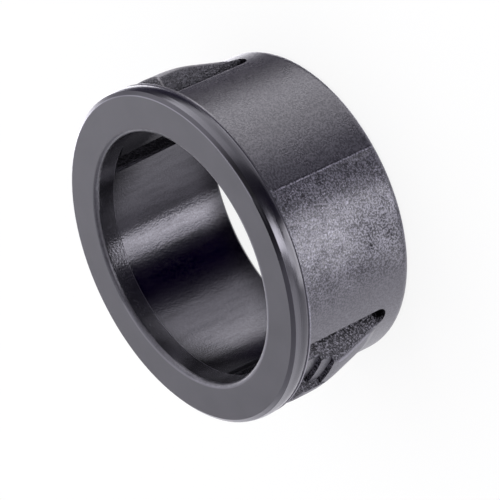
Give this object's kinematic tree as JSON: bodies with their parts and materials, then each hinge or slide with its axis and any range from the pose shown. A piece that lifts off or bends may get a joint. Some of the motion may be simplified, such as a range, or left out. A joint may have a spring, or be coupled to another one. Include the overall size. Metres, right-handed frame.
{
  "type": "knockout bushing",
  "caption": "Round moulded bushing with a flange and stepped snap fingers. It lines a hole in sheet metal and shields the wires that pass through it.",
  "frame": {"origin": "Centre of the nose end, where the bushing stands; the bottom centre of its box.", "axes": "+Z is the bore axis, from the nose towards the flange face; +X runs through the middle of one snap finger."},
  "size_m": [0.0232, 0.0232, 0.0107],
  "materials": {
    "black_nylon": "satin flange face, spark-eroded texture on the body, glossy bore"
  },
  "bodies": {
    "root": {"bushing": "black_nylon"}
  },
  "joints": []
}
